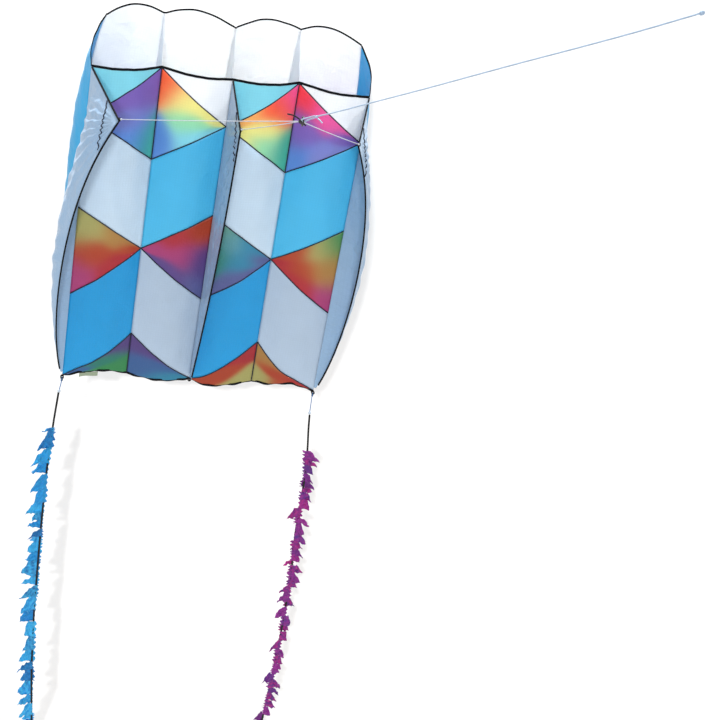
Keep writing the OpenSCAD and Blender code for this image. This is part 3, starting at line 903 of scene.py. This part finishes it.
    def bindings(self) -> None:
        """Builds the tapes of the leading edges, the mouth's sides and the trailing edge."""
        u = np.linspace(0, 1, 40)
        skin_edges = {
            "lower_leading": (self.lower, self.lower_chord, (0.0, 0.4, 0.8), 5.0, "lower_leading_tape"),
            "upper_leading": (self.upper, self.upper_chord, (0.0, 0.2, 1.6), 3.4, "upper_leading_tape"),
            "trailing": (self.lower, 0.0, (0.0, 0.8, -0.8), 4.8, "trailing_tape"),
        }
        for name, (surface, z, shift, width, node) in skin_edges.items():
            path = np.concatenate([surface(c, u[:-1] if c < 3 else u, np.full(39 if c < 3 else 40, z))
                                   for c in range(4)]) + shift
            if name == "trailing":
                x = path[:, 0]
                path += xyz(0 * x, 1.6 * np.sin(x / 8.6), 0.9 * np.sin(x / 5.3))
            side, out = across_of(path, (0.0, 0.0, 1.0))
            self.strip(f"{name}_binding", path, side, out, width, 1.6, nodes=(node,))
        for side in (Side.LEFT, Side.RIGHT):
            path = self.rib(2 * side.value, u, np.ones_like(u), self.wall_bulge) + (0.0, -0.6, 1.0)
            across, out = across_of(path, (0.0, 0.0, 1.0))
            self.strip(f"mouth_binding_{side.word}", path, across, out, 3.4, 1.5, nodes=(f"mouth_tape_{side.word}",))

    def hardware(self) -> None:
        """Builds the blank tag and finishes the loops and lugs that CAD makes."""
        u, v = grid(24, 8)
        x = mix(*self.tag_span, u)
        root = self.lower(0, (x + self.half) / self.cell, np.zeros_like(x))
        y = root[..., 1] + 1.3 + 1.4 * np.sin(math.pi * u * 1.4) * v
        sheet = Cloth()
        z = root[..., 2] - mix(*self.tag_rows, v) + 0.6 * np.sin(u * 5)
        sheet.add(xyz(x, y, z), np.stack([u * 0.036, v * 0.009], axis=-1))
        put(sheet.build("blank_tag_cloth", self.shop["woven_tag"], 0.7), "canopy", "woven_tag", "blank_tag")
        for side in Side:
            dress(f"tail_loop_{side.word}", self.shop["black_binding"])
            dress(f"bridle_lug_{side.word}", self.shop["black_binding"])

    def build(self) -> None:
        """Builds every piece of the canopy."""
        self.bindings()
        self.skins()
        self.rib_lines()
        self.walls()
        self.fins()
        self.hardware()


def dress(node: str, material: bpy.types.Material) -> None:
    """Gives a CAD node that stays in view its finish."""
    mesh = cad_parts[node].data
    mesh.materials.clear()
    mesh.materials.append(material)


# ------------------------------------------------------------------ cords
def cord_object(name: str, route: Array, diameter: float, material: bpy.types.Material) -> bpy.types.Object:
    """A cord as a curve of one open spline through a route.

    Args:
        name: The piece's name.
        route: Points in the frame's metres.
        diameter: Its diameter in metres.
        material: Its finish.

    Returns:
        The curve object.
    """
    curve = bpy.data.curves.new(name, "CURVE")
    curve.dimensions = "3D"
    curve.bevel_depth, curve.bevel_resolution, curve.use_fill_caps = diameter / 2, 3, True
    spline = curve.splines.new("POLY")
    spline.points.add(len(route) - 1)
    spline.points.foreach_set("co", np.concatenate([route, np.ones((len(route), 1))], axis=1).ravel())
    curve.materials.append(material)
    made = bpy.data.objects.new(name, curve)
    bpy.context.scene.collection.objects.link(made)
    return made


def wound_knot(name: str, centre: Array, axis: Array, radius: float, long: float, turns: int, cord: float,
               material: bpy.types.Material) -> bpy.types.Object:
    """A knot of close turns: a cord wound on a barrel, whose radius swells in the middle.

    Args:
        name: The piece's name.
        centre: Its middle, in the frame's metres.
        axis: The direction that it is wound round.
        radius: Radius to the middle of the cord at the widest turn, metres.
        long: Length along the axis, metres.
        turns: How many turns.
        cord: The cord's diameter, metres.
        material: Its finish.

    Returns:
        The object, a closed tube round a closed core.
    """
    axis = unit(axis)
    first = unit(np.cross(axis, (0.3, 0.5, 0.8)))
    second = np.cross(axis, first)
    t = np.linspace(0, 1, turns * 14 + 1)
    swell = radius * (0.62 + 0.38 * np.sin(math.pi * t) ** 0.7)
    turn = math.tau * turns * t
    path = (np.asarray(centre) + np.outer((t - 0.5) * long, axis) + np.outer(swell * np.cos(turn), first)
            + np.outer(swell * np.sin(turn), second)) / MM
    cloth = Cloth()
    side, out = across_of(path, axis)
    carry(cloth, path, side, out, cord / MM, cord / MM, ring=7, square=1.0)
    core = (np.asarray(centre) + np.outer((t[::7] - 0.5) * long * 0.96, axis)) / MM
    ring_side, ring_out = across_of(core, first)
    carry(cloth, core, ring_side, ring_out, 2 * swell[::7] / MM, 2 * swell[::7] / MM, ring=10, square=1.0)
    cloth.points = [p * MM for p in cloth.points]
    return cloth.build(name, material, row=True)


@dataclass
class Bridle:
    """Three legs to one knot, the tow ring, and the flying line with its loop, tag end and knots."""

    shop: Shop
    canopy: Canopy
    line_d: float = 1.8
    leg_d: float = 1.3
    leg_sag: float = 1.0
    lug_reach: tuple = (0.0, -5.2, 5.6)
    knot_at: tuple = (0.0, 12.2, -4.9)
    line: tuple = ((13, -28.8, 20.2), (31, -70, 45), (59, -133, 85), (95, -214, 136), (130, -294, 187),
                   (159, -360, 229), (188, -425, 270), (220, -497, 316), (249, -562, 359))
    loop: tuple = ((10.8, -25.4, 17), (6.5, -16, 10.2), (3.4, -9.6, 5.4), (2.7, -5.8, 2.3), (1.1, -3, 1.2),
                   (-1.1, -2.8, 1.8), (-2.7, -4.8, 3.6), (-2.2, -8.8, 6.6), (4, -15, 12), (9.8, -24.6, 18.8))
    knot_ends: tuple = ((-20, 13, 3.5), (-11, 15, 1.5), (-2, 16, -3), (4, 13.5, -7), (7, 10, -9.5))
    tag: tuple = ((13.4, -28, 16.8), (16, -31, 16), (20, -34, 13))

    def legs(self) -> None:
        """Each leg runs from its lug to the knot, taut, with the small sag of its own weight."""
        knot = np.array(self.knot_at)
        turn = unit(knot)
        wound = wound_knot("bridle_whipping", knot * MM, turn, 2.6 * MM, 9.0 * MM, 6, 1.6 * MM,
                           self.shop["black_plastic"])
        put(wound, "bridle", "black_plastic", "bridle_knot")
        ends = smooth_path(np.array(self.knot_ends, float) * MM, 5)
        tag = put(cord_object("bridle_knot_ends", ends, 2.0 * MM, self.shop["black_cord"]), "bridle", "black_plastic")
        for i, side in enumerate(Side):
            tip = self.canopy.fin(side, np.array(1.0), np.array(1.0), crease=0.0) + self.lug_reach
            lug = to_row(tip) / MM
            start = lug - 4.4 * unit(lug)
            end = knot + ((i - 1) * 2.4, 5.5, -2.2)
            t = np.linspace(0, 1, 25)[:, None]
            route = (mix(start, end, t) - np.array((0.0, 0.0, self.leg_sag)) * np.sin(math.pi * t)) * MM
            leg = cord_object(f"bridle_line_{side.word}", route, self.leg_d * MM, self.shop["white_cord"])
            put(leg, "bridle", "white_cord", f"bridle_leg_{side.word}")
            hitch = wound_knot(f"bridle_hitch_{side.word}", route[0] + 2.2 * MM * unit(route[1] - route[0]),
                               route[1] - route[0], 1.2 * MM, 3.4 * MM, 3, 1.1 * MM, self.shop["white_cord"])
            put(hitch, "bridle", "white_cord")

    def flying_line(self) -> None:
        """The line is held taut from outside, and ends in a knot."""
        route = smooth_path(np.array(self.line, float) * MM, 3)
        line = put(cord_object("line", route, self.line_d * MM, self.shop["flying_cord"]), "flying_line",
                   "flying_cord", "flying_line")
        for name, points in (("line_loop", self.loop), ("line_tag_end", self.tag)):
            path = smooth_path(np.array(points, float) * MM, 4)
            put(cord_object(name, path, self.line_d * MM, self.shop["flying_cord"]), "flying_line",
                              "flying_cord")
        pull, cord = route[1] - route[0], self.shop["flying_cord"]
        for name, node, centre, radius, long, yarn in (
                ("line_loop_knot", "line_knot", (12.0, -27.0, 18.6), 1.3, 3.8, 1.3),
                ("line_stopper_knot", "line_end_knot", (250.6, -565.6, 361.3), 1.8, 4.6, 1.5)):
            knot = wound_knot(name, np.array(centre) * MM, pull, radius * MM, long * MM, 3, yarn * MM, cord)
            put(knot, "flying_line", "flying_cord", node)

    def build(self) -> None:
        """Builds the bridle and the line."""
        self.legs()
        self.flying_line()
        dress("tow_ring", self.shop["black_plastic"])


@dataclass
class Tail:
    """One tail: a pale leader hitched to its loop, a bead, and a black cord with a fringe of strips."""

    shop: Shop
    side: Side
    route: tuple
    bead: tuple
    top: float
    shades: tuple
    tail_d: float = 4.2
    leader_d: float = 1.8
    bead_r: float = 3.4
    bottom: float = -950.0
    overlap: float = 0.93
    cloth: float = 0.3
    tooth_high: tuple = (18.0, 46.0)
    tooth_wide: tuple = (20.0, 36.0)
    first: tuple = (21.0, 10.0)
    other_wide: float = 9.0
    turned: float = 0.0
    in_front: float = 0.5

    def leader(self) -> None:
        """The leader is hitched round the tape loop and runs down into the bead."""
        s, x = self.side.value, self.side.value * 255.0
        b = np.array(self.bead)
        points = np.array([(x - 1.5, -2.6, -12.5), (x - 0.8, -2.8, -9.5), (x, -1.2, -7.3), (x, 2.6, -7.2),
                           (x + 0.2, 4.4, -9.4), (x + 0.1, 3.0, -12.6), tuple(mix(np.array((x, 1.4, -15.0)), b, 0.25)),
                           tuple(mix(np.array((x, 1.0, -12.0)), b, 0.7)), tuple(b)])
        route = smooth_path(to_row(points), 4)
        body = f"{self.side.word}_leader"
        line = put(cord_object(f"leader_{self.side.word}", route, self.leader_d * MM, self.shop["pale_cord"]), body,
                   "white_cord", f"tail_leader_{self.side.word}")
        bead = put(self.bead_mesh(), body, "white_bead", f"tail_bead_{self.side.word}")
        hitch = put(wound_knot(f"leader_hitch_{self.side.word}", to_row(np.array((x, 1.0, -11.6))), (s * 0.05, 0, -1),
                               1.5 * MM, 6.0 * MM, 4, 1.5 * MM, self.shop["black_cord"]), body, "black_cord")

    def bead_mesh(self) -> bpy.types.Object:
        """A drilled bead: an oval profile turned round the cord, with a lip where the hole comes out."""
        turn, v = np.meshgrid(np.linspace(0, math.tau, 33)[:-1], np.linspace(0, 1, 15), indexing="ij")
        r = self.bead_r * np.sin(mix(0.28, math.pi - 0.28, v)) ** 0.8
        z = self.bead_r * 1.02 * np.cos(mix(0.28, math.pi - 0.28, v))
        points = np.array(self.bead) + xyz(r * np.cos(turn), r * np.sin(turn), z)
        cloth = Cloth()
        cloth.add(points.transpose(1, 0, 2), np.stack([turn, v], axis=-1).transpose(1, 0, 2) * 0.003, wrap=True,
                  caps=True, flip=False)
        return cloth.build(f"bead_{self.side.word}", self.shop["white_bead"])

    def fringe(self, path: Array) -> bpy.types.Object:
        """A ruffle of thin cloth sewn along the cord, cut into slanted teeth that hang and crumple.

        Each tooth starts narrow and widens downwards, then is cut back.  Its sewn edge passes in
        front of the cord or behind it and sticks out a little on the other side.

        Args:
            path: The cord's smooth route, canopy millimetres.

        Returns:
            The fringe as one piece.
        """
        rng = np.random.default_rng(5 + self.side.value)
        shade = np.array([linear(c)[:3] for c in self.shades])
        cloth, order, top, i = Cloth(), path[::-1], self.top, 0
        while top > self.bottom:
            high = min(rng.uniform(*self.tooth_high), top - self.bottom + 6.0)
            wide, narrow = rng.uniform(*self.tooth_wide), rng.uniform(6.0, 13.0)
            if i == 0:
                wide, high = self.first
            out = self.side.value * (-1 if rng.random() < self.turned else 1)
            other = rng.uniform(2.5, self.other_wide)
            front = 1.0 if rng.random() < self.in_front else -1.0
            p, q = grid(12, 12)
            q = q + 0.04 * np.sin(6 * p + i)
            z = top - high * q
            middle = np.stack([np.interp(z, order[:, 2], order[:, k]) for k in range(3)], axis=-1)
            edge = mix(narrow, wide, np.clip(q, 0, 1) ** rng.uniform(0.5, 1.2)) * (1 + 0.05 * np.sin(9 * q + 2 * i))
            reach = mix(-other * (0.7 + 0.3 * np.sin(17 * q + i)), edge, p)
            crumple = 2.6 * ripples(reach, z, 17 * i + 3, 15.0, 5) + 1.2 * ripples(reach, z, 17 * i + 5, 6.5, 5)
            free = np.clip(np.abs(reach) / 9.0, 0.12, 1.0)
            curl = rng.uniform(-0.2, 0.4) * np.maximum(reach, 0.0) ** 1.3 * 0.3
            fall = -rng.uniform(-0.05, 0.25) * np.maximum(reach, 0.0)
            points = middle + xyz(out * reach * 0.96, -front * 2.1 + free * crumple - curl * front, fall)
            blend = np.clip(0.5 + 0.42 * ripples(reach, z, 17 * i + 7, 11.0, 4), 0, 1)[..., None]
            first, second = shade[rng.integers(len(shade))], shade[rng.integers(len(shade))]
            cloth.add(points, flat_at(reach, z), mix(first, second, blend), flip=out > 0)
            top -= high * self.overlap
            i += 1
        return cloth.build(f"fringe_{self.side.word}", self.shop[self.slot], self.cloth)

    @property
    def slot(self) -> str:
        """The fringe's finish slot."""
        return "blue_fringe" if self.side is Side.LEFT else "purple_fringe"

    def cord(self) -> None:
        """The core cord hangs from the bead and ends in a knot below the last strip."""
        word, body = self.side.word, f"{self.side.word}_tail"
        path = smooth_path(np.array(self.route, float), 3)
        route = to_row(path)
        core = put(cord_object(f"tail_core_{word}", route, self.tail_d * MM, self.shop["black_cord"]), body,
                   "black_cord", f"tail_cord_{word}")
        fringe = put(self.fringe(path), body, self.slot, f"tail_fringe_{word}")
        knot = wound_knot(f"tail_stopper_{word}", route[-1] + (0, 0, -2.6 * MM), (0, 0.1, -1), 2.0 * MM, 5.2 * MM,
                          3, 1.9 * MM, self.shop["black_cord"])
        put(knot, body, "black_cord", f"tail_knot_{word}")

    def build(self) -> None:
        """Builds the tail."""
        self.leader()
        self.cord()


# ------------------------------------------------------------------ studio
@dataclass(frozen=True)
class Sun:
    """A sun lamp: where its light comes from, its strength and its width in the sky.

    Attributes:
        name: The lamp's name.
        azimuth: Degrees from straight in front of the kite, towards +X.
        elevation: Degrees above the horizon.
        strength: Watts a square metre.
        angle: How wide the sun looks, in degrees.
        backdrop: INCLUDE to light only the backdrop, EXCLUDE to leave it out, or empty for everything.
    """

    name: str
    azimuth: float
    elevation: float
    strength: float
    angle: float
    backdrop: str = ""


@dataclass
class Studio:
    """Camera, soft lights, a pale floor and a pale wall close behind the kite."""

    azimuth: float = -15.9
    elevation: float = 28.6
    roll: float = 11.7
    distance: float = 3.0
    target: tuple = (0.340, 0.674, -0.749)
    lens: float = 73.0
    wall_y: float = 0.875
    floor_z: float = -1.83
    backdrop_reach: float = 9.0
    backdrop_grey: tuple = (0.5, 0.49, 0.48, 1.0)
    wall_glow: float = 0.44
    ambient: float = 0.8
    suns: tuple = (Sun("high", 176.0, 66.0, 6.5, 1.2), Sun("key", -10.0, 20.0, 1.25, 6.0, "EXCLUDE"),
                   Sun("edge", -18.4, 31.4, 2.0, 3.0, "INCLUDE"))

    def away(self, azimuth: float, elevation: float) -> Array:
        """Unit direction from the kite towards an azimuth and an elevation."""
        a, e = math.radians(azimuth), math.radians(elevation)
        return np.array((math.sin(a) * math.cos(e), -math.cos(a) * math.cos(e), math.sin(e)))

    def camera(self) -> None:
        """Puts the camera on its own direction from the target, turned by its roll."""
        back = self.away(self.azimuth, self.elevation)
        right = unit(np.cross(-back, (0.0, 0.0, 1.0)))
        up = np.cross(right, -back)
        r = math.radians(self.roll)
        turned = right * math.cos(r) + up * math.sin(r), up * math.cos(r) - right * math.sin(r)
        place = Matrix.Identity(4)
        for i in range(3):
            place[i][0], place[i][1], place[i][2] = turned[0][i], turned[1][i], back[i]
            place[i][3] = self.target[i] + back[i] * self.distance
        data = bpy.data.cameras.new("camera")
        data.lens, data.sensor_width, data.clip_start, data.clip_end = self.lens, 36.0, 0.05, 60.0
        made = bpy.data.objects.new("camera", data)
        made.matrix_world = place
        bpy.context.scene.collection.objects.link(made)
        bpy.context.scene.camera = made

    def lamp(self, sun: Sun) -> None:
        """Adds a sun lamp, and lets it light or leave out the backdrop."""
        data = bpy.data.lights.new(sun.name, "SUN")
        data.energy, data.angle = sun.strength, math.radians(sun.angle)
        made = bpy.data.objects.new(sun.name, data)
        back = self.away(sun.azimuth, sun.elevation)
        right = unit(np.cross(-back, (0.0, 0.0, 1.0)))
        up = np.cross(right, -back)
        made.matrix_world = Matrix([(right[i], up[i], back[i], 0.0) for i in range(3)] + [(0, 0, 0, 1)])
        bpy.context.scene.collection.objects.link(made)
        if sun.backdrop:
            group = bpy.data.collections.new(f"{sun.name}_receivers")
            for plane in ("wall", "floor"):
                group.objects.link(bpy.data.objects[plane])
            for item in group.collection_objects:
                item.light_linking.link_state = sun.backdrop
            made.light_linking.receiver_collection = group

    def plane(self, name: str, corners: list[tuple[float, float, float]]) -> None:
        """Adds a pale matt plane that glows a little and is seen from its front only."""
        mesh = bpy.data.meshes.new(name)
        mesh.from_pydata(corners, [], [(0, 1, 2, 3)])
        made, tree = blank_material(name)
        matt = add(tree, "BsdfDiffuse", {"Color": self.backdrop_grey})
        clear = add(tree, "BsdfTransparent")
        face = add(tree, "NewGeometry")
        glow = add(tree, "Emission", {"Color": (1.0, 1.0, 1.0, 1.0), "Strength": self.wall_glow})
        lit = add(tree, "AddShader", {0: matt.outputs[0], 1: glow.outputs[0]})
        surface = add(tree, "MixShader", {0: face.outputs["Backfacing"], 1: lit.outputs[0], 2: clear.outputs[0]})
        add(tree, "OutputMaterial", {"Surface": surface.outputs[0]})
        mesh.materials.append(made)
        piece = bpy.data.objects.new(name, mesh)
        bpy.context.scene.collection.objects.link(piece)
        piece.visible_shadow = False

    def daylight(self) -> None:
        """Soft light from all round, and plain white where the camera sees past the backdrop."""
        world = bpy.data.worlds.new("daylight")
        bpy.context.scene.world = world
        world.use_nodes = True
        tree = world.node_tree
        tree.nodes.clear()
        soft = add(tree, "Background", {"Color": (0.99, 0.995, 1.0, 1.0), "Strength": self.ambient})
        seen = add(tree, "Background", {"Color": (1.0, 1.0, 1.0, 1.0), "Strength": 1.0})
        path = add(tree, "LightPath")
        both = add(tree, "MixShader", {0: path.outputs["Is Camera Ray"], 1: soft.outputs[0], 2: seen.outputs[0]})
        add(tree, "OutputWorld", {"Surface": both.outputs[0]})

    def build(self) -> None:
        """Builds the stage: the backdrop, the daylight and the suns."""
        w, y, f = self.backdrop_reach, self.wall_y, self.floor_z
        self.plane("wall", [(-w, y, f), (w, y, f), (w, y, w), (-w, y, w)])
        self.plane("floor", [(-w, -w, f), (w, -w, f), (w, w, f), (-w, w, f)])
        self.daylight()
        for sun in self.suns:
            self.lamp(sun)
        bpy.context.scene.view_settings.view_transform = "Standard"


# The tail cords from the bead down, millimetres of the canopy.
LEFT_ROUTE = ((-259, 0, -42), (-262, 0, -88), (-264, 0, -124), (-268, 1, -230), (-269, 3, -332), (-269, 3, -463),
              (-268, 1, -560), (-267, 0, -628), (-262, -2, -760), (-252, -3, -910), (-249, -3, -962))
RIGHT_ROUTE = ((257, 0, -60), (261, 0, -100), (266, 0, -140), (272, 1, -200), (275, 3, -278), (276, 3, -358),
               (281, 2, -430), (285, 1, -496), (287, 0, -611), (287, -2, -731), (284, -3, -860), (281, -3, -966))


def main() -> None:
    """Builds the stage, the cords and then the cloth."""
    logging.basicConfig(level=logging.INFO, format="%(message)s")
    shop = Shop()
    studio = Studio()
    studio.camera()
    canopy = Canopy(shop)
    Bridle(shop, canopy).build()
    Tail(shop, Side.LEFT, LEFT_ROUTE, (-258.3, 0.0, -37.6), -124.0,
         ("#24A8E2", "#1890D2", "#1076B8", "#48C0EC")).build()
    Tail(shop, Side.RIGHT, RIGHT_ROUTE, (256.2, 0.0, -54.4), -148.0,
         ("#A02C98", "#8A2694", "#7A2688", "#B4208C", "#5E2A8C"), tooth_high=(13.0, 30.0), tooth_wide=(15.0, 28.0),
         first=(29.0, 24.0), other_wide=12.0, turned=0.25, in_front=0.85).build()
    canopy.build()
    studio.build()


if __name__ == "__main__":
    main()
